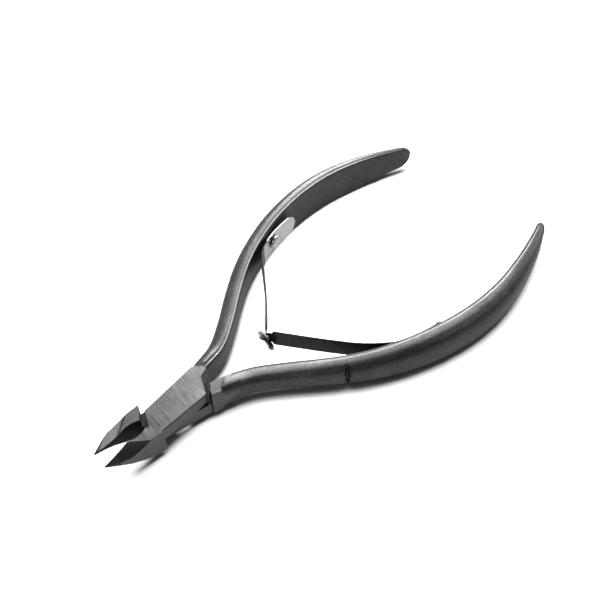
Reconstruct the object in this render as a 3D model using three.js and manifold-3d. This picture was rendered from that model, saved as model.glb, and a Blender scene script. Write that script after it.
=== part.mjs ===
// Cuticle nipper: two forged levers crossing in a lap joint, one rivet, and a double leaf spring.
//
// Frame: +X along the length towards the handle ends, +Y towards the left handle, +Z up.
// The origin is the middle of the footprint, on the surface that the nipper lies on.
// Each lever is drawn in its own closed frame: the rivet's axis is the origin, the cutting edges
// meet on y = 0, and the handle is on the +Y side. The lower lever is the same lever mirrored.
import * as THREE from 'three';
import { mergeVertices } from 'three/addons/utils/BufferGeometryUtils.js';
import Module from 'manifold-3d';

const wasm = await Module();
wasm.setup();

// Driving dimensions, in millimetres and degrees.
const HALF_OPEN_DEG = 5.5;
const PIVOT_X = -38.455;
const PIVOT_Z = 4.69;
const LAP_HALF = 3.0;
const LAP_GAP = 0.1;
const EDGE_GAP = 0.04;
const TIP_X = -17.5;
const TIP_Z = 1.66;
const HEEL_X = -11.9;
const GRIND_RADIUS = 8;
const WHEEL_LENGTH = 30;
const RELIEF_TOP = 1.2;
const RELIEF_DEPTH = 1.1;
const JAW_SHOULDER = [[-6.1, -3.45], [-7.5, -0.3]];
const ROOT_SHOULDER = [[6.2, 3.7], [7.85, 0.66]];
const RIVET_RADIUS = 1.5;
const RIVET_HEAD_RADIUS = 2.0;
const RIVET_HEAD_DEPTH = 0.6;
const RUNNING_CLEARANCE = 0.06;
const BORE_OVERRUN = 0.6;
const GROOVE_SHARE = 0.3;
const GROOVE_HALF_WIDTH = 0.55;
const GROOVE_DEPTH = 0.7;
const BEVEL_WIDTH = 1.0;
const EDGE_ROUND = 0.25;
const SHOULDER_SHARE = 0.95;
const GRIP_END_START = 0.965;
const GRIP_END_REACH = 0.98;
const GRIP_END_CENTRE = 0.45;
const LEAF_THICKNESS = 0.45;
const LEAF_HALF_WIDTH = 2.2;
const STUD_X = 46.9;
const STUD_SHANK_RADIUS = 0.8;
const STUD_HEAD_RADIUS = 1.8;
const STUD_SHANK_DEPTH = 2.2;
const STUD_HEAD_TOP = -1.85;
const STUD_HEAD_EDGE = -1.5;
const STUD_HEAD_BASE = -1.15;
const STUD_HOLE_SPARE = 0.2;
const FOOT_HOLE_CLEARANCE = 0.25;
const NECK_HALF = 0.5;
const NECK_REACH = 0.9;
const HEAD_REACH = 2.4;
const FORK_HALF = 0.85;
const FORK_REACH = 1.0;

// The handle's inner edge, from the lap joint to the tip.
const INNER_EDGE = [
  [7.2, 0.62], [15.4, 2.15], [21.8, 5.5], [28.2, 9.6], [34.6, 13.3], [41, 16], [50, 18.35],
  [60, 19.35], [70, 18.8], [80, 16.55], [88, 13.9], [95.6, 10.9],
];
// Share of the inner edge's length, half height of the handle, and its depth outwards.
const HANDLE_SIZE = [
  [0, 2.9, 3.0], [0.04, 2.4, 3.5], [0.1, 2.4, 3.75], [0.2, 2.75, 3.85], [0.29, 3.15, 3.95],
  [0.4, 3.95, 4.2], [0.52, 4.55, 4.5], [0.64, 4.7, 4.6], [0.76, 4.5, 4.2], [0.87, 3.75, 3.4],
  [0.95, 2.9, 2.5], [1, 2.3, 1.8],
];
const LAP_OUTLINE = [
  [-5.38, 2.69], [7.4, 3.35], [9.4, 0.8], [7.1, 0], [4.9, -3.69], [-6.1, -3.3], [-8.9, -2.94],
  [-7.3, -0.6], [-5.95, 1.8],
];
const JAW_OUTLINE = [
  [TIP_X, -EDGE_GAP], [-16.6, -0.66], [-15.1, -1.7], [-13.4, -2.55], [-11.5, -2.82],
  JAW_SHOULDER[0], JAW_SHOULDER[1], [-9.2, -0.65], [-10.8, -0.5], [HEEL_X, -EDGE_GAP],
];
const JAW_BELLY = [
  [-5, LAP_HALF], [HEEL_X, LAP_HALF], [TIP_X - 1, LAP_HALF], [TIP_X - 1, TIP_Z - 0.3],
  [-15.2, 0.75], [-13.4, 0], [-11.2, -1.5], [-8.6, -LAP_HALF], [-5, -LAP_HALF],
];
const ROOT_OUTLINE = [
  ROOT_SHOULDER[0], ROOT_SHOULDER[1], [10, 0.95], [9.6, 3.3], [8.2, 3.75],
];
// Middle line of a leaf spring's foot, which lies along the handle's inner face, and of the legs,
// which leave the foot in a bend and end where the two leaves cross.
const FOOT_LINE = [[55.6, 17.75], [51, 17.55], [46.4, 16.95], [43.6, 16.05]];
const LEFT_LEG_LINE = [
  [43.3, 15.93], [41.2, 15], [39.8, 13.9], [38.4, 12.4], [31.2, 4.9], [24.4, -1.25],
];
const RIGHT_LEG_LINE = [
  [43.3, 15.93], [41.3, 14.7], [38, 11.9], [35, 8.8], [32, 5.5], [29.3, 2.4], [24.2, -3.6],
];
const FOOT_HALF_WIDTH = 2.8;
const LEG_TAPER = [[0, FOOT_HALF_WIDTH], [0.12, 2.6], [0.35, LEAF_HALF_WIDTH], [1, LEAF_HALF_WIDTH]];

function solid(geometry) {
  geometry.deleteAttribute('normal');
  if (geometry.attributes.uv) geometry.deleteAttribute('uv');
  const merged = mergeVertices(geometry, 1e-5);
  return new wasm.Manifold(new wasm.Mesh({
    numProp: 3,
    vertProperties: new Float32Array(merged.attributes.position.array),
    triVerts: new Uint32Array(merged.index.array),
  }));
}

function surface(manifold) {
  const mesh = manifold.getMesh();
  const geometry = new THREE.BufferGeometry();
  geometry.setAttribute('position', new THREE.BufferAttribute(mesh.vertProperties, 3));
  geometry.setIndex(new THREE.BufferAttribute(mesh.triVerts, 1));
  geometry.computeVertexNormals();
  return geometry;
}

function outlineShape(points) {
  return new THREE.Shape(points.map(([x, y]) => new THREE.Vector2(x, y)));
}

// A plan outline, extruded between two heights.
function plate(points, low, high) {
  const depth = high - low;
  const geometry = new THREE.ExtrudeGeometry(outlineShape(points), { depth, bevelEnabled: false });
  geometry.translate(0, 0, low);
  return solid(geometry);
}

// A side outline in x and z, extruded across the whole jaw.
function sideProfile(points, halfWidth) {
  const options = { depth: 2 * halfWidth, bevelEnabled: false };
  const geometry = new THREE.ExtrudeGeometry(outlineShape(points), options);
  geometry.translate(0, 0, -halfWidth);
  geometry.rotateX(Math.PI / 2);
  return solid(geometry);
}

// An end outline in y and z, extruded along x.
function endProfile(points, from, to) {
  const options = { depth: to - from, bevelEnabled: false };
  const geometry = new THREE.ExtrudeGeometry(outlineShape(points), options);
  geometry.rotateX(Math.PI / 2);
  geometry.rotateZ(Math.PI / 2);
  geometry.translate(from, 0, 0);
  return solid(geometry);
}

function cylinder(radius, length, sides) {
  return new THREE.CylinderGeometry(radius, radius, length, sides);
}

// A closed skin through rings of points, with a flat cap at each end.
function loft(rings) {
  const count = rings[0].length;
  const positions = rings.flat(2);
  const index = [];
  for (let i = 0; i + 1 < rings.length; i += 1) {
    for (let j = 0; j < count; j += 1) {
      const next = (j + 1) % count;
      const a = i * count + j;
      const b = i * count + next;
      index.push(a, b, b + count, a, b + count, a + count);
    }
  }
  const last = (rings.length - 1) * count;
  for (let j = 1; j + 1 < count; j += 1) {
    index.push(0, j + 1, j);
    index.push(last, last + j, last + j + 1);
  }
  const geometry = new THREE.BufferGeometry();
  geometry.setAttribute('position', new THREE.Float32BufferAttribute(positions, 3));
  geometry.setIndex(index);
  return solid(geometry);
}

function smoothLine(points) {
  return new THREE.CatmullRomCurve3(points.map(([x, y]) => new THREE.Vector3(x, y, 0)));
}

// Point and outward normal of a plan curve at a share of its length.
function frameAt(curve, share) {
  const point = curve.getPointAt(share);
  const tangent = curve.getTangentAt(share);
  return { point, outward: new THREE.Vector3(-tangent.y, tangent.x, 0) };
}

function sizeAt(table, share) {
  let k = 1;
  while (k < table.length - 1 && table[k][0] < share) k += 1;
  const [s0, ...low] = table[k - 1];
  const [s1, ...high] = table[k];
  const t = (share - s0) / (s1 - s0);
  return low.map((value, i) => value + (high[i] - value) * t);
}

// The handle's section: a flat inner face, a narrow bevel and a half-round outer face.
function handleSection(half, depth) {
  const arcSteps = 10;
  const bevel = Math.min(BEVEL_WIDTH, depth * 0.4);
  const shoulder = half * SHOULDER_SHARE;
  const section = [[0, -half + EDGE_ROUND], [0, half - EDGE_ROUND], [EDGE_ROUND, half]];
  for (let k = 0; k <= arcSteps; k += 1) {
    const angle = Math.PI / 2 - (Math.PI * k) / arcSteps;
    section.push([bevel + (depth - bevel) * Math.cos(angle), shoulder * Math.sin(angle)]);
  }
  section.push([EDGE_ROUND, -half]);
  return section;
}

const innerEdge = smoothLine(INNER_EDGE);

function handle() {
  const bodySteps = 24;
  const tipSteps = 4;
  const shares = [];
  for (let i = 0; i <= bodySteps; i += 1) shares.push([(GRIP_END_START * i) / bodySteps, 1]);
  for (let i = 1; i <= tipSteps; i += 1) {
    const t = Math.sin(((Math.PI / 2) * i) / tipSteps) * GRIP_END_REACH;
    shares.push([GRIP_END_START + (1 - GRIP_END_START) * t, Math.sqrt(1 - t * t)]);
  }
  const rings = shares.map(([share, scale]) => {
    const { point, outward } = frameAt(innerEdge, share);
    const [half, depth] = sizeAt(HANDLE_SIZE, share);
    const centre = depth * GRIP_END_CENTRE;
    return handleSection(half * scale, depth * scale).map(([n, z]) => {
      const offset = n + centre * (1 - scale);
      return [point.x + outward.x * offset, point.y + outward.y * offset, z];
    });
  });
  return loft(rings.map((ring) => ring.slice().reverse()));
}

// Grinding wheel that hollows the top of the jaw between the heel and the tip.
function grindingWheel() {
  const across = (HEEL_X - TIP_X) * Math.SQRT1_2;
  const drop = LAP_HALF - TIP_Z;
  const chord = Math.hypot(across, drop);
  const reach = Math.sqrt(GRIND_RADIUS ** 2 - (chord / 2) ** 2);
  const q = across / 2 + (reach * drop) / chord;
  const z = (LAP_HALF + TIP_Z) / 2 + (reach * across) / chord;
  const geometry = cylinder(GRIND_RADIUS, WHEEL_LENGTH, 96);
  geometry.rotateZ(Math.PI / 4);
  geometry.translate(HEEL_X - q * Math.SQRT1_2, -q * Math.SQRT1_2, z);
  return solid(geometry);
}

function jaw() {
  const blank = plate(JAW_OUTLINE, -LAP_HALF, LAP_HALF).intersect(sideProfile(JAW_BELLY, 6));
  const section = [[-EDGE_GAP, RELIEF_TOP], [-RELIEF_DEPTH, -4], [2, -4], [2, RELIEF_TOP]];
  const relief = endProfile(section, -20, -8.5);
  return blank.subtract(relief).subtract(grindingWheel());
}

// Groove across the handle's outer face where the grip begins.
function gripGroove() {
  const { point, outward } = frameAt(innerEdge, GROOVE_SHARE);
  const [half, depth] = sizeAt(HANDLE_SIZE, GROOVE_SHARE);
  const steps = 14;
  const rings = [];
  const side = new THREE.Vector3(outward.y, -outward.x, 0);
  for (let k = 0; k <= steps; k += 1) {
    const angle = Math.PI / 2 - (Math.PI * k) / steps;
    const ring = [[-GROOVE_HALF_WIDTH, 1], [0, -GROOVE_DEPTH], [GROOVE_HALF_WIDTH, 1]];
    rings.push(ring.map(([along, out]) => {
      const n = BEVEL_WIDTH + (depth - BEVEL_WIDTH + out) * Math.cos(angle);
      const z = (half * SHOULDER_SHARE + out) * Math.sin(angle);
      return [
        point.x + outward.x * n + side.x * along,
        point.y + outward.y * n + side.y * along,
        z,
      ];
    }));
  }
  return loft(rings);
}

function rivetProfile(growth) {
  const r = RIVET_RADIUS + growth;
  const head = RIVET_HEAD_RADIUS + growth;
  const top = LAP_HALF + (growth > 0 ? BORE_OVERRUN : 0);
  const neck = LAP_HALF - RIVET_HEAD_DEPTH;
  return [[0, -top], [head, -top], [head, -LAP_HALF], [r, -neck], [r, neck], [head, LAP_HALF],
    [head, top], [0, top]].map(([x, y]) => new THREE.Vector2(x, y));
}

function rivetGeometry(growth) {
  const profile = rivetProfile(growth);
  const points = growth > 0 ? profile : profile.filter((p, i) => i !== 2 && i !== 5);
  const geometry = new THREE.LatheGeometry(points, 48);
  geometry.rotateX(Math.PI / 2);
  return geometry;
}

// The stud's axis: a point on the handle's inner face and the direction into the handle.
function studFrame() {
  let share = 0;
  while (innerEdge.getPointAt(share).x < STUD_X) share += 0.001;
  return frameAt(innerEdge, share);
}

function alongStud(geometry) {
  const { point, outward } = studFrame();
  geometry.rotateZ(Math.atan2(outward.y, outward.x) - Math.PI / 2);
  geometry.translate(point.x, point.y, 0);
  return geometry;
}

function studGeometry() {
  const r = STUD_SHANK_RADIUS;
  const head = STUD_HEAD_RADIUS;
  const profile = [[0, STUD_HEAD_TOP], [head - 0.5, STUD_HEAD_TOP], [head, STUD_HEAD_EDGE],
    [head, STUD_HEAD_BASE], [1, -1.0], [r, -0.9], [r, STUD_SHANK_DEPTH], [0, STUD_SHANK_DEPTH]];
  const points = profile.map(([x, y]) => new THREE.Vector2(x, y));
  return alongStud(new THREE.LatheGeometry(points, 32));
}

function studHole(radius, from, to) {
  const geometry = cylinder(radius, to - from, 32);
  geometry.translate(0, (from + to) / 2, 0);
  return solid(alongStud(geometry));
}

// A lever whose half of the lap joint is the top half or the bottom half.
function lever(topHalf) {
  const lap = topHalf
    ? plate(LAP_OUTLINE, LAP_GAP / 2, LAP_HALF)
    : plate(LAP_OUTLINE, -LAP_HALF, -LAP_GAP / 2);
  const root = plate(ROOT_OUTLINE, -LAP_HALF, LAP_HALF);
  return lap.add(root).add(jaw()).add(handle())
    .subtract(gripGroove())
    .subtract(solid(rivetGeometry(RUNNING_CLEARANCE)))
    .subtract(studHole(STUD_SHANK_RADIUS + RUNNING_CLEARANCE, -2, STUD_SHANK_DEPTH + STUD_HOLE_SPARE));
}

// A flat strip that follows a plan line, with its own half width at each point.
function strip(stations) {
  const half = LEAF_THICKNESS / 2;
  const rings = stations.map(([point, outward, width]) => [
    [half, -width], [half, width], [-half, width], [-half, -width],
  ].map(([n, z]) => [point.x + outward.x * n, point.y + outward.y * n, z]));
  return loft(rings);
}

function leafFoot() {
  const line = smoothLine(FOOT_LINE);
  const stations = [];
  const roundSteps = 6;
  const roundShare = 0.22;
  for (let i = 0; i <= roundSteps; i += 1) {
    const angle = ((Math.PI / 2) * (i + 0.25)) / (roundSteps + 0.25);
    const { point, outward } = frameAt(line, roundShare * (1 - Math.cos(angle)));
    stations.push([point, outward, FOOT_HALF_WIDTH * Math.sin(angle)]);
  }
  for (let i = 1; i <= 6; i += 1) {
    const { point, outward } = frameAt(line, roundShare + ((1 - roundShare) * i) / 6);
    stations.push([point, outward, FOOT_HALF_WIDTH]);
  }
  return strip(stations).subtract(studHole(STUD_SHANK_RADIUS + FOOT_HOLE_CLEARANCE, -3, 3));
}

function straightSpan(from, to, low, high, halfThickness) {
  const direction = new THREE.Vector3().subVectors(to, from).normalize();
  const geometry = new THREE.BoxGeometry(from.distanceTo(to), 2 * halfThickness, high - low);
  geometry.rotateZ(Math.atan2(direction.y, direction.x));
  geometry.translate((from.x + to.x) / 2, (from.y + to.y) / 2, (low + high) / 2);
  return solid(geometry);
}

// The leaf's leg: round the bend and on, straight, past the place where the two leaves cross.
function leafLeg(points, reach) {
  const line = smoothLine(points);
  const steps = 14;
  const stations = [];
  for (let i = 0; i <= steps; i += 1) {
    const { point, outward } = frameAt(line, i / steps);
    stations.push([point, outward, sizeAt(LEG_TAPER, i / steps)[0]]);
  }
  const crossing = line.getPointAt(1);
  const along = line.getTangentAt(1);
  const end = crossing.clone().addScaledVector(along, reach);
  stations.push([end, frameAt(line, 1).outward, LEAF_HALF_WIDTH]);
  return { body: strip(stations), crossing, along, end };
}

// The left leaf narrows to a neck and ends in a T-shaped head.
function headedLeg() {
  const { body, crossing, along } = leafLeg(LEFT_LEG_LINE, HEAD_REACH);
  const from = crossing.clone().addScaledVector(along, -NECK_REACH);
  const to = crossing.clone().addScaledVector(along, NECK_REACH);
  return body.subtract(straightSpan(from, to, NECK_HALF, 4, 1))
    .subtract(straightSpan(from, to, -4, -NECK_HALF, 1));
}

// The right leaf ends in a fork that straddles the neck.
function forkedLeg() {
  const { body, crossing, along, end } = leafLeg(RIGHT_LEG_LINE, FORK_REACH);
  const from = crossing.clone().addScaledVector(along, -NECK_REACH);
  const to = end.clone().addScaledVector(along, 1);
  return body.subtract(straightSpan(from, to, -FORK_HALF, FORK_HALF, 1));
}

// The same shape on the other side of the length.
function mirrored(geometry) {
  const copy = geometry.clone();
  copy.scale(1, -1, 1);
  const index = copy.index.array;
  for (let i = 0; i < index.length; i += 3) {
    [index[i], index[i + 1]] = [index[i + 1], index[i]];
  }
  return copy;
}

const FORGED = { color: 0x6b6c6e, roughness: 0.45, metalness: 1 };
const POLISHED = { color: 0xc4c5c7, roughness: 0.22, metalness: 1 };
const RIVET_STEEL = { color: 0x8e8f91, roughness: 0.35, metalness: 1 };

function piece(name, geometry, look) {
  const mesh = new THREE.Mesh(geometry, new THREE.MeshStandardMaterial(look));
  mesh.name = name;
  return mesh;
}

const nipper = new THREE.Group();

const upper = new THREE.Group();
upper.position.set(PIVOT_X, 0, PIVOT_Z);
upper.rotation.z = THREE.MathUtils.degToRad(HALF_OPEN_DEG);
upper.add(piece('upper_lever', surface(lever(true)), FORGED));
upper.add(piece('left_spring_foot', surface(leafFoot()), POLISHED));
upper.add(piece('left_spring_leg', surface(headedLeg()), POLISHED));
upper.add(piece('left_spring_stud', surface(solid(studGeometry())), POLISHED));
nipper.add(upper);

// The lower lever's handle and jaw mirror the upper one's, and its lap is the bottom half.
const lower = new THREE.Group();
lower.position.set(PIVOT_X, 0, PIVOT_Z);
lower.rotation.z = -upper.rotation.z;
lower.add(piece('lower_lever', mirrored(surface(lever(false))), FORGED));
lower.add(piece('pivot_rivet', surface(solid(rivetGeometry(0))), RIVET_STEEL));
lower.add(piece('right_spring_foot', mirrored(surface(leafFoot())), POLISHED));
lower.add(piece('right_spring_leg', mirrored(surface(forkedLeg())), POLISHED));
lower.add(piece('right_spring_stud', mirrored(surface(solid(studGeometry()))), POLISHED));
nipper.add(lower);

export default nipper;
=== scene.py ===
"""Cuticle nipper: two forged levers in a lap joint, a rivet, and a double leaf spring.

Lengths are in millimetres until to_row scales them. The stage and the lights are in metres.
A lever is drawn in its own closed frame: the rivet's axis is the origin, the cutting edges
meet on y = 0, and the handle is on the +y side. The lower lever is the mirrored one.
"""
import math

import bmesh
import bpy
import numpy as np
from mathutils import Matrix, Vector


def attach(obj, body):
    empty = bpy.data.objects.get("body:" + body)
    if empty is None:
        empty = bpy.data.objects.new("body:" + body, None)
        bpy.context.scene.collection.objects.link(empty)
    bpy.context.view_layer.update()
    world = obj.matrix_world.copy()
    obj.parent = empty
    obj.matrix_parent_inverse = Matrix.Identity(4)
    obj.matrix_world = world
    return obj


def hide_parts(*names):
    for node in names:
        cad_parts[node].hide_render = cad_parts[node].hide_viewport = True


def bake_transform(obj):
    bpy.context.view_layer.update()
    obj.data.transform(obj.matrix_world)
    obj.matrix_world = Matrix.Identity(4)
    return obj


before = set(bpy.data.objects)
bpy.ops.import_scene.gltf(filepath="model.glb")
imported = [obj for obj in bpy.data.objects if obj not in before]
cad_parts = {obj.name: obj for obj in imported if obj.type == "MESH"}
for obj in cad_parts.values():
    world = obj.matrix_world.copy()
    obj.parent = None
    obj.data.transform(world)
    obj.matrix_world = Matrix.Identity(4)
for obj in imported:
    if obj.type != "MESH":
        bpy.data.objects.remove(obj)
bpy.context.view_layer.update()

MM = 0.001
HALF_OPEN = math.radians(5.5)
PIVOT = np.array([-38.455, 0.0, 4.69])
LAP_HALF = 3.0
LAP_GAP = 0.1
EDGE_GAP = 0.04
TIP_X = -17.5
TIP_Z = 1.66
HEEL_X = -11.9
GRIND_RADIUS = 8.0
RIVET_RADIUS = 1.5
RIVET_HEAD_RADIUS = 2.0
RIVET_HEAD_DEPTH = 0.6
RUNNING_CLEARANCE = 0.06
BORE_GROWTH = 0.004
GROOVE_SHARE = 0.3
GROOVE_HALF_WIDTH = 0.55
GROOVE_DEPTH = 0.7
# Along the handle and out of its surface: sloped lips, then a narrow floor.
GROOVE_SECTION = [
    (-GROOVE_HALF_WIDTH - 0.35, 0.6), (-GROOVE_HALF_WIDTH, 0.0), (-0.28, -0.46), (-0.1, -GROOVE_DEPTH),
    (0.1, -GROOVE_DEPTH), (0.28, -0.46), (GROOVE_HALF_WIDTH, 0.0), (GROOVE_HALF_WIDTH + 0.35, 0.6),
]
BEVEL_WIDTH = 1.0
LEAF_THICKNESS = 0.45
LEAF_HALF_WIDTH = 2.2
FOOT_HALF_WIDTH = 2.8
STUD_X = 46.9
STUD_SHANK_RADIUS = 0.8
STUD_SHANK_DEPTH = 2.2
STUD_HOLE_RADIUS = 1.05
NECK_REACH = 0.6
FORK_HALF = 0.7
FORK_REACH = -0.1
HEAD_TWIST = math.radians(33)
HEAD_CENTRE = 1.12
HEAD_SKEW = 0.28
# One lobe of the head: its centre's distance from the middle, and its radii across and along.
HEAD_LOBE = (1.62, 1.24, 1.05)
HEAD_WAIST = 0.5
# Distance past the crossing, half width, and share of the twist.
NECK_STEPS = [
    (-1.7, 2.2, 0), (-1.66, 1.3, 0), (-1.5, 0.6, 0.05), (-1.2, 0.5, 0.2), (-0.8, 0.5, 0.5),
    (-0.45, 0.5, 0.85), (-0.25, 0.5, 1), (0.5, 0.5, 1),
]
# Radius and place along the stud's axis: button head, washer face, shank in the handle.
STUD_PROFILE = [
    (0, -1.9), (0.6, -1.9), (1.15, -1.87), (1.45, -1.8), (1.66, -1.66), (1.77, -1.48), (1.8, -1.28),
    (1.76, -1.12), (1.6, -1.05), (1.0, -1.0), (0.8, -0.9), (0.8, 2.2), (0, 2.2),
]
FINE_EDGE = 0.1
BAND_WIDTH = 0.5
CORNER = 0.22
# Exponent of the half-round: 1 is an ellipse, less is squarer.
FULLNESS = {"upper": 1.0, "lower": 0.82}

INNER_EDGE = [
    (7.2, 0.62), (15.4, 2.15), (21.8, 5.5), (28.2, 9.6), (34.6, 13.3), (41, 16), (50, 18.35),
    (60, 19.35), (70, 18.8), (80, 16.55), (88, 13.9), (95.6, 10.9),
]
# Share of the inner edge's length, half height of the handle, its depth outwards, and the
# height of the flat band along its inner edge.
HANDLE_SIZE = [
    (0, 3.2, 3.3, 2.9), (0.03, 3.2, 3.5, 2.93), (0.055, 3.0, 3.6, 2.72), (0.1, 2.58, 3.75, 2.4),
    (0.15, 2.6, 3.8, 2.45), (0.2, 2.75, 3.85, 2.62), (0.29, 3.15, 3.95, 3.0), (0.4, 3.95, 4.2, 3.78),
    (0.52, 4.55, 4.5, 4.36), (0.64, 4.7, 4.6, 4.5), (0.76, 4.5, 4.2, 4.3), (0.87, 3.75, 3.4, 3.58),
    (0.95, 2.9, 2.5, 2.76), (1, 2.3, 1.8, 2.18),
]
# What the grip's end adds to half height and depth: the two forgings aren't quite alike.
GRIP_END = {"upper": (0.3, 0.35), "lower": (0.0, 0.0)}
# How far the grip's end lies further along and further out.
GRIP_SHIFT = {"upper": (0.35, -0.25), "lower": (1.4, -0.9)}
# Where along x that shift begins, and over what length it comes in.
GRIP_SHIFT_START, GRIP_SHIFT_LENGTH = 60, 36
# How far across the handle its half-round is highest. The lower lever's neck is the fuller one.
CREST = 0.17
NECK_CREST, NECK_CREST_FALL = 0.42, 0.25
# Rings of the handle: shares of its length in the root, the grip and the rounded end.
ROOT_SHARE, GRIP_SHARE, END_START, END_SHARE = 0.1, 0.865, 0.965, 0.035
ROOT_RINGS, GRIP_RINGS, END_RINGS = 50, 150, 14
# The ground root. Its flat boss stands BOSS_HALF from the middle and then rises by BOSS_RISE: where
# that starts, how much sooner for each millimetre outwards, and over what length.
GROUND_SHARE = 0.16
BOSS_HALF, BOSS_RISE = 2.985, 0.6
BOSS_RAMP = {"upper": (9.5, 0.8, 3.2), "lower": (10.9, 0.96, 1.6)}
# Each of these is where along x it starts, its value there, and its slope from there on.
ROOT_WALL = (8, 3.0, 0.075)
ROOT_LEDGE = (9, 1.5, 0.2)
# The bulge over the ledge: start, length, height, and its steepness upwards.
ROOT_BULGE = (7.9, 2.4, 1.6, 2.2)
# From here on the wall runs out into the full handle.
WALL_END, WALL_END_SLOPE = 15, 0.3
LAP_OUTLINE = [
    (-5.38, 2.69), (7.4, 3.35), (9.4, 0.8), (7.1, 0), (4.9, -3.69), (-6.1, -3.3),
    (-8.9, -2.94), (-7.3, -0.6), (-5.95, 1.8),
]
JAW_OUTLINE = [
    (TIP_X, -EDGE_GAP), (-16.6, -0.66), (-15.1, -1.7), (-13.4, -2.55), (-11.5, -2.82),
    (-6.1, -3.45), (-7.5, -0.3), (-9.2, -0.65), (-10.8, -0.5), (HEEL_X, -EDGE_GAP),
]
JAW_BELLY = [
    (-5, LAP_HALF), (HEEL_X, LAP_HALF), (TIP_X - 1, LAP_HALF), (TIP_X - 1, TIP_Z - 0.3),
    (-15.2, 0.75), (-13.4, 0), (-11.2, -1.5), (-8.6, -LAP_HALF), (-5, -LAP_HALF),
]
# The back of the jaws, cut away below the edge: across and up.
RELIEF_OUTLINE = [(-EDGE_GAP, 1.2), (-1.1, -4), (2, -4), (2, 1.2)]
RELIEF_REACH = (-20, -8.5)
GRIND_TURN = math.radians(45)
FOOT_LINE = [(55.6, 17.75), (51, 17.55), (46.4, 16.95), (43.6, 16.05)]
LEFT_LEG_LINE = [(41.2, 15), (39.8, 13.9), (38.4, 12.4), (31.2, 4.9), (24.4, -1.25)]
RIGHT_LEG_LINE = [(41.3, 14.7), (38, 11.9), (35, 8.8), (32, 5.5), (29.3, 2.4), (24.2, -3.6)]
# Where the even part of a leg stops and the neck or the fork takes over, back from its end.
LEG_TRIM = {"left": 1.75, "right": 1.95}
# Solid root of a lever between the lap and the handle. The lower lever's carries the shoulder
# that the other lever's lap closes against.
UPPER_ROOT = [
    (5.7, 3.2), (7.15, 0.25), (7.4, 0.6), (9.25, 0.95), (8.8, 2.0), (8.15, 2.78), (7.25, 3.36),
]
LOWER_ROOT = [
    (5.95, 3.73), (6.4, 2.33), (7.5, 0.72), (9.2, 1.02), (10.6, 1.3), (10.3, 2.06), (8.75, 2.96),
    (8.1, 3.93),
]


# ---------------------------------------------------------------- lines and sections

def catmull(points, per_span=24):
    """Centripetal Catmull-Rom line through the points."""
    p = np.array(points, float)
    p = np.vstack([2 * p[0] - p[1], p, 2 * p[-1] - p[-2]])
    out = []
    for i in range(1, len(p) - 2):
        knots = [0.0]
        for a, b in zip(p[i - 1:i + 2], p[i:i + 3]):
            knots.append(knots[-1] + max(np.linalg.norm(b - a), 1e-9) ** 0.5)
        t0, t1, t2, t3 = knots
        for t in np.linspace(t1, t2, per_span, endpoint=False):
            a1 = (t1 - t) / (t1 - t0) * p[i - 1] + (t - t0) / (t1 - t0) * p[i]
            a2 = (t2 - t) / (t2 - t1) * p[i] + (t - t1) / (t2 - t1) * p[i + 1]
            a3 = (t3 - t) / (t3 - t2) * p[i + 1] + (t - t2) / (t3 - t2) * p[i + 2]
            b1 = (t2 - t) / (t2 - t0) * a1 + (t - t0) / (t2 - t0) * a2
            b2 = (t3 - t) / (t3 - t1) * a2 + (t - t1) / (t3 - t1) * a3
            out.append((t2 - t) / (t2 - t1) * b1 + (t - t1) / (t2 - t1) * b2)
    out.append(p[-2])
    return np.array(out)


class Line:
    """A plan line, read by its share of length, with the normal on its left."""

    step = 0.004

    def __init__(self, points):
        self.points = catmull(points)
        steps = np.linalg.norm(np.diff(self.points, axis=0), axis=1)
        self.length = steps.sum()
        self.shares = np.concatenate([[0], np.cumsum(steps)]) / self.length

    def at(self, share):
        return np.array([np.interp(share, self.shares, self.points[:, k]) for k in (0, 1)])

    def tangent(self, share):
        d = self.at(min(share + self.step, 1)) - self.at(max(share - self.step, 0))
        return d / np.linalg.norm(d)

    def normal(self, share):
        t = self.tangent(share)
        return np.array([-t[1], t[0]])


def smooth_table(table):
    rows = catmull(table, 16)
    return lambda share: [np.interp(share, rows[:, 0], rows[:, k]) for k in range(1, rows.shape[1])]


def smoothstep(t):
    t = min(max(t, 0.0), 1.0)
    return t * t * (3 - 2 * t)


def inner_line(which):
    """The inner edge in plan, with the grip's end moved to where this forging has it."""
    along, out = GRIP_SHIFT[which]
    points = []
    for x, y in INNER_EDGE:
        part = smoothstep((x - GRIP_SHIFT_START) / GRIP_SHIFT_LENGTH)
        points.append((x + along * part, y + out * part))
    return Line(points)


inner_edges = {which: inner_line(which) for which in ("upper", "lower")}
inner_edge = Line(INNER_EDGE)
handle_table = smooth_table(HANDLE_SIZE)


def handle_size(share, which="upper"):
    half, depth, level = handle_table(share)
    add_half, add_depth = GRIP_END[which]
    w = smoothstep((share - 0.4) / 0.35)
    return half + add_half * w, depth + add_depth * w, level + add_half * w


def crest_share(share, which):
    if which == "upper":
        return CREST
    return NECK_CREST - NECK_CREST_FALL * smoothstep((share - ROOT_SHARE) / 0.25)


def handle_section(half, depth, level, highest, fullness):
    """Flat inner face, a fine corner, a narrow flat band, and the half-round outer face."""
    edge = min(CORNER, half * 0.1)
    band = min(BAND_WIDTH, depth * 0.2)
    crest = band + (depth - band) * highest
    upper = [(0, level - edge), (edge * 0.3, level - edge * 0.3), (edge, level),
             (edge + (band - edge) * 0.5, level), (band, level)]
    for k in range(1, 7):
        t = k / 6
        rise = math.sin(math.pi / 2 * t)
        upper.append((band + (crest - band) * t, level + (half - level) * rise))
    arc = []
    for k in range(1, 40):
        a = math.pi / 2 - math.pi * k / 40
        across = math.cos(a) ** fullness if a < math.pi / 2 else 0.0
        high = math.copysign(abs(math.sin(a)) ** fullness, math.sin(a))
        arc.append((crest + (depth - crest) * across, half * high))
    lower = [(n, -z) for n, z in reversed(upper)]
    face = [(0, (level - edge) * t) for t in (-0.6, -0.2, 0.2, 0.6)]
    return upper + arc + lower + face


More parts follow.
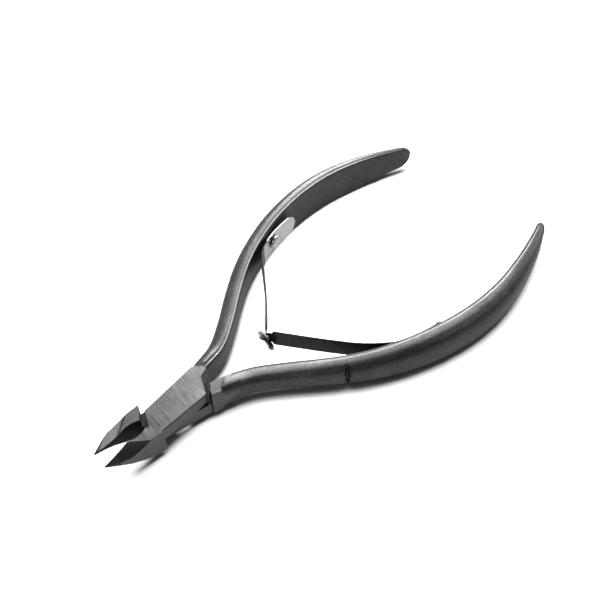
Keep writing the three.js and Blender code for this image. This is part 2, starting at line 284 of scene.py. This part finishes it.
def root_trim(which, x, n, z):
    """Near the lap the forging is ground to a flat boss on top and a flat wall outside."""
    start, sooner, length = BOSS_RAMP[which]
    t = min(max((x - start + sooner * n) / length, 0.0), 1.0)
    rise = smoothstep(t) if which == "upper" else math.sqrt(t * (2 - t))
    z = min(max(z, -BOSS_HALF), BOSS_HALF + BOSS_RISE * rise)
    start, depth, slope = ROOT_WALL
    wall = depth + max(x - start, 0) * slope
    start, height, slope = ROOT_LEDGE
    ledge = height - max(x - start, 0) * slope
    start, length, height, steepness = ROOT_BULGE
    bulge = height * smoothstep((x - start) / length) if z > ledge else 0.0
    bulge = min(bulge, max(z - ledge, 0) * steepness)
    grown = max(x - WALL_END, 0) * WALL_END_SLOPE
    return min(n, wall + bulge + grown), z


# ---------------------------------------------------------------- meshes

def new_object(name, bm):
    bmesh.ops.recalc_face_normals(bm, faces=bm.faces)
    mesh = bpy.data.meshes.new(name)
    bm.to_mesh(mesh)
    bm.free()
    ob = bpy.data.objects.new(name, mesh)
    bpy.context.scene.collection.objects.link(ob)
    return ob


def as_drawn(x, y, z):
    return (x, y, z)


def circle(radius, z, sides):
    turns = [2 * math.pi * k / sides for k in range(sides)]
    return [(radius * math.cos(a), radius * math.sin(a), z) for a in turns]


def skin(bm, rows):
    """Quads between each ring of vertices and the next."""
    n = len(rows[0])
    for a, b in zip(rows, rows[1:]):
        for j in range(n):
            bm.faces.new((a[j], a[(j + 1) % n], b[(j + 1) % n], b[j]))


def fan(bm, row, centre):
    for j in range(len(row)):
        bm.faces.new((row[j], row[(j + 1) % len(row)], centre))


def loft(name, rings):
    """A skin through rings of 3-D points, with a fan at each end."""
    bm = bmesh.new()
    rows = [[bm.verts.new(p) for p in ring] for ring in rings]
    skin(bm, rows)
    for ring, row in ((rings[0], rows[0]), (rings[-1], rows[-1])):
        fan(bm, row, bm.verts.new(np.mean(np.array(ring), axis=0)))
    return new_object(name, bm)


def filleted(points, radii, steps=5):
    """The outline with each corner rounded to its own radius. A radius of 0 leaves it sharp."""
    pts = [np.array(p, float) for p in points]
    out = []
    for i, p in enumerate(pts):
        a, b = pts[i - 1] - p, pts[(i + 1) % len(pts)] - p
        la, lb = np.linalg.norm(a), np.linalg.norm(b)
        a, b = a / la, b / lb
        angle = math.acos(max(-1, min(1, float(a @ b))))
        r = radii[i]
        reach = min(r / math.tan(angle / 2), la * 0.45, lb * 0.45) if r > 0 else 0
        if reach < 1e-4 or angle > math.radians(176):
            out.append(p)
            continue
        r = reach * math.tan(angle / 2)
        start, end = p + a * reach, p + b * reach
        axis = (a + b) / np.linalg.norm(a + b)
        centre = p + axis * (r / math.sin(angle / 2))
        u, v = start - centre, end - centre
        sweep = math.acos(max(-1, min(1, float(u @ v) / (r * r))))
        for k in range(steps + 1):
            t = k / steps
            w0 = math.sin((1 - t) * sweep) / math.sin(sweep)
            w1 = math.sin(t * sweep) / math.sin(sweep)
            out.append(centre + w0 * u + w1 * v)
    return out


def offset(points, distance):
    """The outline moved inwards by a distance, whichever way round it runs."""
    pts = np.array(points, float)
    area = 0.5 * sum(pts[i - 1][0] * pts[i][1] - pts[i][0] * pts[i - 1][1] for i in range(len(pts)))
    sign = 1 if area > 0 else -1
    out = []
    for i in range(len(pts)):
        d0 = pts[i] - pts[i - 1]
        d1 = pts[(i + 1) % len(pts)] - pts[i]
        d0, d1 = d0 / np.linalg.norm(d0), d1 / np.linalg.norm(d1)
        n0 = sign * np.array([-d0[1], d0[0]])
        n1 = sign * np.array([-d1[1], d1[0]])
        m = n0 + n1
        out.append(pts[i] + m * distance / max(1 + float(n0 @ n1), 0.3))
    return out


def slab(name, points, low, high, edge_low=FINE_EDGE, edge_high=FINE_EDGE, place=as_drawn):
    """A plan outline between two heights, with small rounded edges."""
    profile = []
    for k in (0, 0.5, 1):
        a = math.pi / 2 * k
        profile.append((edge_low * (1 - math.sin(a)), low + edge_low * (1 - math.cos(a))))
    for k in (1, 0.5, 0):
        a = math.pi / 2 * k
        profile.append((edge_high * (1 - math.sin(a)), high - edge_high * (1 - math.cos(a))))
    bm = bmesh.new()
    rows = []
    for inset, z in profile:
        ring = offset(points, inset) if inset > 1e-6 else points
        rows.append([bm.verts.new(place(p[0], p[1], z)) for p in ring])
    skin(bm, rows)
    bm.faces.new(rows[0])
    bm.faces.new(rows[-1])
    return new_object(name, bm)


def cylinder_mesh(name, radius, low, high, sides, place):
    return loft(name, [[place(*p) for p in circle(radius, z, sides)] for z in (low, high)])


def lathe(name, profile, sides=64, place=as_drawn):
    """A profile of (radius, height) that starts and ends on the axis."""
    bm = bmesh.new()
    first = bm.verts.new(place(0, 0, profile[0][1]))
    last = bm.verts.new(place(0, 0, profile[-1][1]))
    rows = [[bm.verts.new(place(*p)) for p in circle(r, z, sides)] for r, z in profile[1:-1]]
    skin(bm, rows)
    for j in range(sides):
        bm.faces.new((rows[0][j], rows[0][(j + 1) % sides], first))
        bm.faces.new((rows[-1][j], rows[-1][(j + 1) % sides], last))
    return new_object(name, bm)


def apply_modifiers(ob):
    bpy.context.view_layer.update()
    result = bpy.data.meshes.new_from_object(ob.evaluated_get(bpy.context.evaluated_depsgraph_get()))
    ob.modifiers.clear()
    old = ob.data
    ob.data = result
    bpy.data.meshes.remove(old)


def combine(base, other, operation):
    """An exact boolean, applied at once. The other object is used up."""
    modifier = base.modifiers.new("cut", "BOOLEAN")
    modifier.operation = operation
    modifier.solver = "EXACT"
    modifier.object = other
    apply_modifiers(base)
    used = other.data
    bpy.data.objects.remove(other)
    bpy.data.meshes.remove(used)
    return base


# ---------------------------------------------------------------- the levers

def handle_mesh(which):
    line = inner_edges[which]
    shares = [(ROOT_SHARE * i / ROOT_RINGS, 1.0) for i in range(ROOT_RINGS)]
    shares += [(ROOT_SHARE + GRIP_SHARE * i / GRIP_RINGS, 1.0) for i in range(GRIP_RINGS + 1)]
    for i in range(1, END_RINGS + 1):
        t = math.sin(math.pi / 2 * i / END_RINGS) * 0.995
        shares.append((END_START + END_SHARE * t, math.sqrt(1 - t * t)))
    rings = []
    for share, scale in shares:
        point, normal = line.at(share), line.normal(share)
        half, depth, level = handle_size(share, which)
        ring = []
        for n, z in handle_section(half * scale, depth * scale, level * scale,
                                   crest_share(share, which), FULLNESS[which]):
            if share < GROUND_SHARE:
                n, z = root_trim(which, point[0], n, z)
            ring.append((*(point + normal * (n + depth * 0.45 * (1 - scale))), z))
        rings.append(ring)
    return loft("handle", rings)


def groove_cutter():
    point, normal = inner_edge.at(GROOVE_SHARE), inner_edge.normal(GROOVE_SHARE)
    half, depth, _ = handle_size(GROOVE_SHARE)
    side = np.array([normal[1], -normal[0]])
    rings = []
    for k in range(41):
        a = math.pi / 2 - math.pi * k / 40
        fade = 0.9 * smoothstep((abs(math.sin(a)) - 0.75) / 0.2)
        ring = []
        for along, out in GROOVE_SECTION:
            n = BEVEL_WIDTH + (depth - BEVEL_WIDTH + out + fade) * math.cos(a)
            z = (half * 0.99 + out + fade) * math.sin(a)
            ring.append((*(point + normal * n + side * along), z))
        rings.append(ring)
    return loft("groove", rings)


def jaw_mesh():
    blank = slab("jaw", JAW_OUTLINE, -LAP_HALF, LAP_HALF, 0.04, 0.04)
    belly = slab("belly", JAW_BELLY, -6, 6, 0, 0, lambda x, z, y: (x, y, z))
    combine(blank, belly, "INTERSECT")
    relief = slab("relief", RELIEF_OUTLINE, *RELIEF_REACH, 0, 0, lambda y, z, x: (x, y, z))
    combine(blank, relief, "DIFFERENCE")
    across = (HEEL_X - TIP_X) / math.sqrt(2)
    drop = LAP_HALF - TIP_Z
    chord = math.hypot(across, drop)
    reach = math.sqrt(GRIND_RADIUS ** 2 - (chord / 2) ** 2)
    q = across / 2 + reach * drop / chord
    z = (LAP_HALF + TIP_Z) / 2 + reach * across / chord
    axis_mid = np.array([HEEL_X - q / math.sqrt(2), -q / math.sqrt(2), z])
    turn = Matrix.Rotation(GRIND_TURN, 3, "Z")

    def place(u, v, w):
        p = turn @ Vector((u, w, v))
        return (p.x + axis_mid[0], p.y + axis_mid[1], p.z + axis_mid[2])

    wheel = cylinder_mesh("wheel", GRIND_RADIUS, -15, 15, 256, place)
    return combine(blank, wheel, "DIFFERENCE")


def rivet_profile(growth, overshoot=0.0):
    """Countersunk at both ends. Its heads are ground flush with the lap."""
    neck = LAP_HALF - RIVET_HEAD_DEPTH
    head, shank, top = RIVET_HEAD_RADIUS + growth, RIVET_RADIUS + growth, LAP_HALF + overshoot
    steps = [(0, -top), (head, -top)]
    if overshoot:
        steps.append((head, -LAP_HALF))
    steps += [(shank, -neck), (shank, neck), (head, LAP_HALF)]
    if overshoot:
        steps.append((head, top))
    return steps + [(0, top)]


def stud_place():
    shares = np.linspace(0, 1, 2001)
    share = next(s for s in shares if inner_edge.at(s)[0] >= STUD_X)
    point, normal = inner_edge.at(share), inner_edge.normal(share)
    side = np.array([normal[1], -normal[0]])

    def place(u, v, w):
        return (*(point + side * u + normal * w), v)

    return place


def lever_mesh(name, top_half):
    body = handle_mesh("upper" if top_half else "lower")
    if top_half:
        root = slab("root", UPPER_ROOT, -LAP_HALF, LAP_HALF, 0.1, 0.02)
        lap = slab("lap", LAP_OUTLINE, LAP_GAP / 2, LAP_HALF, 0.05, 0.18)
    else:
        root = slab("root", LOWER_ROOT, -LAP_HALF, LAP_HALF, 0.2, 0.14)
        lap = slab("lap", LAP_OUTLINE, -LAP_HALF, -LAP_GAP / 2, 0.1, 0.05)
    combine(body, root, "UNION")
    combine(body, lap, "UNION")
    combine(body, jaw_mesh(), "UNION")
    combine(body, groove_cutter(), "DIFFERENCE")
    combine(body, lathe("bore", rivet_profile(BORE_GROWTH, 1.0)), "DIFFERENCE")
    hole = cylinder_mesh("hole", STUD_SHANK_RADIUS + RUNNING_CLEARANCE, -2, STUD_SHANK_DEPTH + 0.2, 48,
                         stud_place())
    combine(body, hole, "DIFFERENCE")
    body.name = name
    return body


def strip_ring(point, normal, width, thickness, twist=0.0):
    """Section of a leaf: a flat strip with rounded long edges, turned about its own length."""
    half, r = thickness / 2, thickness * 0.32
    section = []
    for sn, sz in ((1, -1), (1, 1), (-1, 1), (-1, -1)):
        corner = []
        for a in (0, 0.5, 1):
            c, s = math.cos(math.pi / 2 * a), math.sin(math.pi / 2 * a)
            corner.append((sn * (half - r + r * c), sz * (max(width - r, 0.01) + r * s)))
        section += corner if sn * sz > 0 else corner[::-1]
    ring = []
    for n, z in section:
        n, z = n * math.cos(twist) - z * math.sin(twist), n * math.sin(twist) + z * math.cos(twist)
        ring.append((*(point + normal * n), z))
    return ring


def spring_head(end, along, out):
    """The T at the end of the left leaf: two round lobes with a waist between them."""
    reach, long, short = HEAD_LOBE
    open_angle = math.pi - math.asin(HEAD_WAIST / short)
    points = []
    for side in (1, -1):
        for k in range(19):
            a = -open_angle + 2 * open_angle * k / 18
            points.append((side * (reach + long * math.cos(a)),
                           HEAD_CENTRE + side * (short * math.sin(a) - HEAD_SKEW)))
    c, s = math.cos(HEAD_TWIST), math.sin(HEAD_TWIST)

    def place(w, u, n):
        return (*(end + along * u + out * (n * c - w * s)), n * s + w * c)

    half = LEAF_THICKNESS / 2
    return slab("spring_head", points, -half, half, 0.12, 0.12, place)


def leaf_spring(which):
    """Foot along the handle's inner face, a bend, a straight leg, and the end that links the leaves."""
    left = which == "left"
    line = Line(FOOT_LINE + (LEFT_LEG_LINE if left else RIGHT_LEG_LINE))
    total = line.length
    foot_length = Line(FOOT_LINE).length
    stations = list(np.arange(0, 2.9, 0.16)) + list(np.arange(2.9, total, 0.35))
    end, along, out = line.at(1), line.tangent(1), line.normal(1)
    rings = []

    def width_at(s):
        if s < FOOT_HALF_WIDTH:
            short = (FOOT_HALF_WIDTH - s) / FOOT_HALF_WIDTH
            return FOOT_HALF_WIDTH * math.sqrt(max(1 - short ** 2, 0.004))
        if s < foot_length:
            return FOOT_HALF_WIDTH
        t = min((s - foot_length) / (0.35 * (total - foot_length)), 1)
        return FOOT_HALF_WIDTH + (LEAF_HALF_WIDTH - FOOT_HALF_WIDTH) * t * t * (3 - 2 * t)

    for s in stations:
        if s <= total - LEG_TRIM[which]:
            rings.append(strip_ring(line.at(s / total), line.normal(s / total), width_at(s),
                                    LEAF_THICKNESS))
    stud_hole = cylinder_mesh("stud_hole", STUD_HOLE_RADIUS, -1.6, 0.2, 48, stud_place())
    if left:
        # The leaf narrows to a neck, and its head is turned so that it can't slip out of the slot.
        for d, w, t in NECK_STEPS:
            rings.append(strip_ring(end + along * d, out, w, LEAF_THICKNESS * 0.9, HEAD_TWIST * t))
        leaf = loft("left_leaf_spring", rings)
        combine(leaf, spring_head(end, along, out), "UNION")
        return combine(leaf, stud_hole, "DIFFERENCE")
    for d, w in ((-1.9, LEAF_HALF_WIDTH), (-1.7, LEAF_HALF_WIDTH - 0.2), (-1.45, 1.45),
                 (FORK_REACH, 1.3)):
        rings.append(strip_ring(end + along * d, out, w, LEAF_THICKNESS))
    leaf = loft("right_leaf_spring", rings)

    def place(u, z, n):
        return (*(end + along * u + out * n), z)

    slot = slab("slot", filleted([(-NECK_REACH, -FORK_HALF), (3, -FORK_HALF), (3, FORK_HALF),
                                  (-NECK_REACH, FORK_HALF)], [0.4, 0, 0, 0.4]), -1, 1, 0, 0, place)
    combine(leaf, slot, "DIFFERENCE")
    return combine(leaf, stud_hole, "DIFFERENCE")


def to_row(ob, side):
    """From the lever's closed frame, in millimetres, to the row frame, in metres."""
    co = np.empty(len(ob.data.vertices) * 3)
    ob.data.vertices.foreach_get("co", co)
    co = co.reshape(-1, 3)
    c, s = math.cos(HALF_OPEN), math.sin(HALF_OPEN)
    x = co[:, 0] * c - co[:, 1] * s
    y = co[:, 0] * s + co[:, 1] * c
    row = np.stack([x + PIVOT[0], side * y + PIVOT[1], co[:, 2] + PIVOT[2]], axis=1) * MM
    ob.data.vertices.foreach_set("co", row.ravel())
    if side < 0:
        ob.data.flip_normals()
    ob.data.update()
    return ob


def soften(ob, degrees=32):
    """Smooth shading that keeps flat faces flat, with edges sharper than an angle kept sharp."""
    bm = bmesh.new()
    bm.from_mesh(ob.data)
    bmesh.ops.remove_doubles(bm, verts=bm.verts, dist=1e-7)
    for face in bm.faces:
        face.smooth = True
    limit = math.radians(degrees)
    for edge in bm.edges:
        edge.smooth = len(edge.link_faces) == 2 and edge.calc_face_angle(0) < limit
    bm.to_mesh(ob.data)
    bm.free()
    modifier = ob.modifiers.new("normals", "WEIGHTED_NORMAL")
    modifier.mode = "FACE_AREA"
    modifier.weight = 100
    modifier.keep_sharp = True
    apply_modifiers(ob)


# ---------------------------------------------------------------- materials

def material(name):
    m = bpy.data.materials.new(name)
    m.use_nodes = True
    nodes, links = m.node_tree.nodes, m.node_tree.links
    shader = nodes["Principled BSDF"]
    coords = nodes.new("ShaderNodeTexCoord")
    return m, nodes, links, shader, coords.outputs["Object"]


def stretched(nodes, links, source, stretch, turn):
    """Coordinates drawn out along one direction: turn is the direction's angle from +x in plan."""
    mapping = nodes.new("ShaderNodeMapping")
    mapping.vector_type = "TEXTURE"
    mapping.inputs["Scale"].default_value = (stretch, 1, 1)
    mapping.inputs["Rotation"].default_value = (0, 0, turn)
    links.new(source, mapping.inputs["Vector"])
    return mapping.outputs["Vector"]


def added(nodes, links, a, b, amount):
    """a + b * amount"""
    node = nodes.new("ShaderNodeMath")
    node.operation = "MULTIPLY_ADD"
    node.inputs[1].default_value = amount
    links.new(b, node.inputs[0])
    links.new(a, node.inputs[2])
    return node.outputs["Value"]


def noise(nodes, links, vector, scale, detail, roughness=0.55):
    node = nodes.new("ShaderNodeTexNoise")
    node.inputs["Scale"].default_value = scale
    node.inputs["Detail"].default_value = detail
    node.inputs["Roughness"].default_value = roughness
    links.new(vector, node.inputs["Vector"])
    return node.outputs["Fac"]


def spread(nodes, links, value, low, high, from_low=0.3, from_high=0.7):
    node = nodes.new("ShaderNodeMapRange")
    node.inputs["From Min"].default_value = from_low
    node.inputs["From Max"].default_value = from_high
    node.inputs["To Min"].default_value = low
    node.inputs["To Max"].default_value = high
    links.new(value, node.inputs["Value"])
    return node.outputs["Result"]


def ramp(nodes, links, value, stops):
    """Blends two colours. stops is a (place, colour) for each end."""
    node = nodes.new("ShaderNodeValToRGB")
    for element, (place, colour) in zip(node.color_ramp.elements, stops):
        element.position = place
        element.color = (*colour, 1)
    links.new(value, node.inputs["Fac"])
    return node.outputs["Color"]


def bump(nodes, links, height, distance):
    node = nodes.new("ShaderNodeBump")
    node.inputs["Strength"].default_value = 1.0
    node.inputs["Distance"].default_value = distance
    links.new(height, node.inputs["Height"])
    return node.outputs["Normal"]


def steel(name, colours, roughness, grain, bumps, direction=None, stretch=1.0):
    """Bare steel. colours and roughness are (low, high).

    grain is (fine, coarse, cloud) in marks a metre, and bumps is the depth of the marks in metres.
    """
    m, nodes, links, shader, co = material(name)
    shader.inputs["Metallic"].default_value = 1.0
    along = co if direction is None else stretched(nodes, links, co, stretch, direction)
    fine = noise(nodes, links, along, grain[0], 3, 0.6)
    coarse = noise(nodes, links, along, grain[1], 4, 0.65)
    cloud = noise(nodes, links, co, grain[2], 3)
    marks = added(nodes, links, coarse, fine, 0.5)
    tone = added(nodes, links, marks, cloud, 0.35)
    low, high = colours
    colour = ramp(nodes, links, spread(nodes, links, tone, 0, 1, 0.72, 1.13),
                  [(0.0, (low, low, low * 1.01)), (1.0, (high, high, high * 1.01))])
    links.new(colour, shader.inputs["Base Color"])
    links.new(spread(nodes, links, coarse, roughness[0], roughness[1]), shader.inputs["Roughness"])
    links.new(bump(nodes, links, marks, bumps), shader.inputs["Normal"])
    return m


BRUSH = math.radians(88)
SATIN = steel("satin_steel", (0.05, 0.13), (0.36, 0.46), (6000, 2600, 180), 0.00004)
# A smoother ground band, and partly a painted highlight: brighter than the satin so that the inner edge
# shows a light line.
BAND_AND_HIGHLIGHT = steel("band_and_highlight_steel", (0.1, 0.17), (0.24, 0.32), (7000, 3000, 200), 0.000006)
BRUSHED = steel("ground_steel", (0.066, 0.225), (0.3, 0.4), (12000, 5200, 300), 0.000004, BRUSH, 26)
WALL = steel("lap_wall_steel", (0.115, 0.165), (0.32, 0.42), (8000, 2600, 300), 0.000004, 0.0, 12)
HOLLOW = steel("hollow_ground_steel", (0.17, 0.24), (0.16, 0.22), (9000, 4000, 300), 0.000003,
               GRIND_TURN, 15)
# Painted shade: near-black steel for the jaws' inner sides, the lap's ends, the faces between the laps and
# dark lines along edges.
PAINTED_SHADE = steel("painted_shade_steel", (0.02, 0.045), (0.35, 0.5), (6000, 2500, 300), 0.00001)
SPRING = steel("polished_spring_steel", (0.58, 0.76), (0.2, 0.28), (8000, 2500, 200), 0.000003, 1.2, 8)
# Painted shade: a dark copy of the spring steel for the legs, standing in for the shadowed floor that they
# mirror.
SHADED_SPRING = steel("painted_shade_spring_steel", (0.022, 0.045), (0.25, 0.36), (8000, 2500, 200), 0.000003,
                 1.2, 8)
LEAF_EDGE = steel("leaf_edge_steel", (0.3, 0.5), (0.25, 0.35), (8000, 2500, 200), 0.000003)
STUD = steel("stud_steel", (0.5, 0.75), (0.2, 0.3), (8000, 3000, 400), 0.000004)


# ---------------------------------------------------------------- the pieces

# Material slots of a lever and of a leaf, in the order in which they are added.
SATIN_SLOT, BRUSHED_SLOT, WALL_SLOT, HOLLOW_SLOT, PAINTED_SHADE_SLOT, BAND_AND_HIGHLIGHT_SLOT = range(6)
POLISHED_SLOT, SHADED_SPRING_SLOT, EDGE_SLOT = range(3)
# A face whose normal is this close to upright counts as flat.
FLAT = 0.97


def finish_lever(ob, top_half):
    """Gives each face its finish, painted shade or a painted highlight, while the lever is still in its own
    closed frame.
    """
    for look in (SATIN, BRUSHED, WALL, HOLLOW, PAINTED_SHADE, BAND_AND_HIGHLIGHT):
        ob.data.materials.append(look)
    line = inner_edges["upper" if top_half else "lower"]
    band_start, corner_start = (8.6, 0.0) if top_half else (12.0, 12.0)
    for face in ob.data.polygons:
        x, y, z = face.center
        nx, ny, nz = face.normal
        on_top = abs(z - LAP_HALF) < 0.02
        painted_shade_edge_area = (x < 9.6 and y < 0.75) if top_half else x < 8.2
        if painted_shade_edge_area and x > -8.2 and 0.2 < nz < FLAT and LAP_HALF - 0.2 < z < LAP_HALF:
            face.material_index = PAINTED_SHADE_SLOT  # rounded edge of the top face: painted shade, a dark line
        elif abs(z) < 0.2 and abs(nz) > 0.9:
            face.material_index = PAINTED_SHADE_SLOT  # where the laps slide on each other: painted shade between the parts
        elif not top_half and 5 < x < 12 and nz > FLAT and on_top:
            face.material_index = SATIN_SLOT  # boss on the near handle
        elif not top_half and x < -4 and nz > FLAT and z > 2.9:
            face.material_index = WALL_SLOT  # flat of the far jaw
        elif abs(nz) > FLAT and abs(abs(z) - LAP_HALF) < 0.02 and x < 11.5:
            face.material_index = BRUSHED_SLOT  # plate, top and bottom
        elif x < -8.4 and nz > 0.5 and z > 1.2:
            face.material_index = HOLLOW_SLOT  # hollow grind
        elif x < -5.6 and y > -2.6 and (ny > 0.2 or nx < -0.5 or nx > 0.5) and nz < 0.5:
            face.material_index = PAINTED_SHADE_SLOT  # inner side of the jaw: painted shade
        elif 3.5 < x < 9.6 and nx > 0.6 and y < 0.2:
            face.material_index = PAINTED_SHADE_SLOT  # end of the lap: painted shade
        elif 5.4 < x < 9.6 and nx < -0.3 and y > 0.4 and abs(nz) < 0.3:
            face.material_index = PAINTED_SHADE_SLOT  # shoulder that faces the other lap: painted shade
        elif x < 8.6 and not (top_half and x > 6.4 and y < 1.3 and abs(nz) < 0.3):
            face.material_index = WALL_SLOT  # the rest of the joint
        elif not top_half and ny > 0.5 and z < 1.5 and x < 12.2 - abs(z - 0.9) * 1.4:
            face.material_index = WALL_SLOT  # ground facet outside the near root
        elif nz > 0.985 and x > band_start and band_distance(x, y, line) < BAND_WIDTH + 0.03:
            face.material_index = BAND_AND_HIGHLIGHT_SLOT if top_half else PAINTED_SHADE_SLOT  # flat band: brighter on the upper lever, partly a painted highlight; painted shade on the lower
        elif 0.15 < nz < 0.985 and x > corner_start and band_distance(x, y, line) < CORNER + 0.02:
            face.material_index = PAINTED_SHADE_SLOT  # corner between the band and the inner face: painted shade, a dark line
    return ob


def band_distance(x, y, line):
    """How far a point of the plan lies from the handle's inner edge."""
    return float(np.min(np.hypot(line.points[:, 0] - x, line.points[:, 1] - y)))


for side, body, top_half in ((1, "upper_lever", True), (-1, "lower_lever", False)):
    ob = to_row(finish_lever(lever_mesh(body + "_forging", top_half), top_half), side)
    soften(ob)
    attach(ob, body)
    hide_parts(body)


def finish_leaf(ob):
    """A polished foot and end, dark legs that are painted shade, and plain ground edges, save the left
    leg's, which are painted shade too.
    """
    for look in (SPRING, SHADED_SPRING, LEAF_EDGE):
        ob.data.materials.append(look)
    left = ob.name.startswith("left")
    for face in ob.data.polygons:
        x = face.center.x
        # Flat edges: those of the left leg are painted shade, the rest plain.
        if abs(face.normal.z) > 0.5:
            face.material_index = SHADED_SPRING_SLOT if left and 25.4 < x < 44 else EDGE_SLOT
        elif x < 24.5 and left:
            face.material_index = POLISHED_SLOT
        # The legs: painted shade.
        elif x < 41.8:
            face.material_index = SHADED_SPRING_SLOT
    return ob


for side, body, leaf in ((1, "upper_lever", "left"), (-1, "lower_lever", "right")):
    spring = to_row(finish_leaf(leaf_spring(leaf)), side)
    soften(spring, 40)
    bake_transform(spring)
    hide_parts(leaf + "_spring_foot", leaf + "_spring_leg")
    stud = to_row(lathe(leaf + "_button_stud", STUD_PROFILE, 96, stud_place()), side)
    soften(stud, 40)
    stud.data.materials.append(STUD)
    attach(stud, body)
    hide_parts(leaf + "_spring_stud")

rivet = to_row(lathe("flush_rivet", rivet_profile(0), 96), -1)
soften(rivet)
rivet.data.materials.append(BRUSHED)
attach(rivet, "lower_lever")
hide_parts("pivot_rivet")


# ---------------------------------------------------------------- floor, light and camera

STAGE_RADIUS = 0.7
STAGE_SIDES = 96
# The handles' visual meshes reach a little below z = 0, and the floor with them.
FLOOR_HEIGHT, BOUNCE_HEIGHT, BACKDROP_FOOT, BACKDROP_TOP = -0.0003, -0.0005, -0.001, 1.0
FLOOR_GREY, BOUNCE_GREY, BACKDROP_GLOW = 0.5, 0.157, 0.85


def disc(name, height, grey):
    bm = bmesh.new()
    bm.faces.new([bm.verts.new(p) for p in circle(STAGE_RADIUS, height, STAGE_SIDES)])
    ob = new_object(name, bm)
    m, _, _, shader, _ = material(name)
    shader.inputs["Base Color"].default_value = (grey, grey, grey, 1)
    shader.inputs["Roughness"].default_value = 0.9
    shader.inputs["Specular IOR Level"].default_value = 0.0
    ob.data.materials.append(m)
    return ob


def pale_wall(name, low, high, glow):
    """A plain upright backdrop round the floor, seen by the camera alone."""
    bm = bmesh.new()
    skin(bm, [[bm.verts.new(p) for p in circle(STAGE_RADIUS, z, STAGE_SIDES)] for z in (low, high)])
    ob = new_object(name, bm)
    m, _, _, shader, _ = material(name)
    shader.inputs["Base Color"].default_value = (0, 0, 0, 1)
    shader.inputs["Specular IOR Level"].default_value = 0.0
    shader.inputs["Emission Color"].default_value = (1, 1, 1, 1)
    shader.inputs["Emission Strength"].default_value = glow
    ob.data.materials.append(m)
    ob.visible_diffuse = False
    ob.visible_glossy = False
    ob.visible_transmission = False
    ob.visible_shadow = False
    return ob


# The pale floor is what is seen. A darker one just under it is what the steel reflects.
floor = disc("floor", FLOOR_HEIGHT, FLOOR_GREY)
floor.visible_glossy = False
floor.visible_shadow = False
bounce = disc("floor_bounce", BOUNCE_HEIGHT, BOUNCE_GREY)
bounce.visible_camera = False
backdrop = pale_wall("backdrop", BACKDROP_FOOT, BACKDROP_TOP, BACKDROP_GLOW)


def softbox(name, place, size, power):
    """A rectangular light that faces the middle of the stage."""
    data = bpy.data.lights.new(name, "AREA")
    data.shape = "RECTANGLE"
    data.size, data.size_y = size
    data.energy = power
    ob = bpy.data.objects.new(name, data)
    bpy.context.scene.collection.objects.link(ob)
    ob.location = place
    ob.rotation_euler = (Vector((0, 0, 0)) - Vector(place)).to_track_quat("-Z", "Y").to_euler()
    return ob


def only_on(light, receivers, blockers=()):
    """A light that falls on these objects alone, and is blocked by everything or by the given ones."""
    group = bpy.data.collections.new(light.name + "_receivers")
    for ob in receivers:
        group.objects.link(ob)
    light.light_linking.receiver_collection = group
    if blockers:
        shade = bpy.data.collections.new(light.name + "_blockers")
        for ob in blockers:
            shade.objects.link(ob)
        light.light_linking.blocker_collection = shade


OBJECT = [o for o in bpy.context.scene.objects if o.type == "MESH" and o not in (floor, bounce, backdrop)]
LEVERS = [o for o in OBJECT if o.name.endswith("_forging")]
# Name, place, size and watts. The last three of the nipper's lights give the sides away from the
# photo's camera something to mirror.
NIPPER_LIGHTS = [
    ("high_softbox", (0.343, 0.332, 0.512), (0.34, 0.32), 1.5),
    ("low_softbox", (0.42, 0.46, 0.3), (0.26, 0.22), 4.8),
    ("side_softbox", (-0.08, 0.57, 0.31), (0.5, 0.4), 0.8),
    ("top_softbox", (0.32, 0.08, 0.58), (0.3, 0.4), 1.9),
    ("front_fill", (0.35, -0.45, 0.4), (0.5, 0.4), 0.55),
    ("jaw_end_softbox", (-0.6, -0.1, 0.32), (0.4, 0.4), 2),
    ("jaw_side_softbox", (-0.5, 0.3, 0.32), (0.5, 0.5), 3),
    ("grip_end_softbox", (0.66, -0.05, 0.14), (0.36, 0.2), 0.8),
]
FLOOR_LIGHTS = [
    ("floor_key", (0.01, 0.07, 0.58), (0.42, 0.42), 17),
    ("floor_fill", (0, 0.05, 0.6), (0.9, 0.9), 1.2),
]
for light in NIPPER_LIGHTS:
    only_on(softbox(*light), OBJECT)
for light in FLOOR_LIGHTS:
    only_on(softbox(*light), [floor, bounce], LEVERS)

world = bpy.data.worlds.new("studio")
bpy.context.scene.world = world
world.use_nodes = True
world.node_tree.nodes["Background"].inputs["Color"].default_value = (0.06, 0.06, 0.06, 1)
world.node_tree.nodes["Background"].inputs["Strength"].default_value = 1.0

# The camera that matches the photo. It looks at target from a distance in millimetres.
CAMERA_LENS = 42.06
azimuth, elevation, distance = math.radians(-44.042), math.radians(48.727), 155.0
target = np.array([-1.712, 3.539, 4.69])
camera_data = bpy.data.cameras.new("camera")
camera_data.lens = CAMERA_LENS
camera_data.sensor_width = 36.0
camera_data.clip_start = 0.005
camera_data.clip_end = 10.0
camera = bpy.data.objects.new("camera", camera_data)
bpy.context.scene.collection.objects.link(camera)
back = np.array([math.sin(azimuth) * math.cos(elevation), -math.cos(azimuth) * math.cos(elevation),
                 math.sin(elevation)])
right = np.array([math.cos(azimuth), math.sin(azimuth), 0])
up = np.cross(back, right)
place = target + back * distance
camera.matrix_world = Matrix([(right[k], up[k], back[k], place[k] * MM) for k in range(3)] + [(0, 0, 0, 1)])
bpy.context.scene.camera = camera
bpy.context.scene.view_settings.view_transform = "Standard"

bpy.context.view_layer.update()
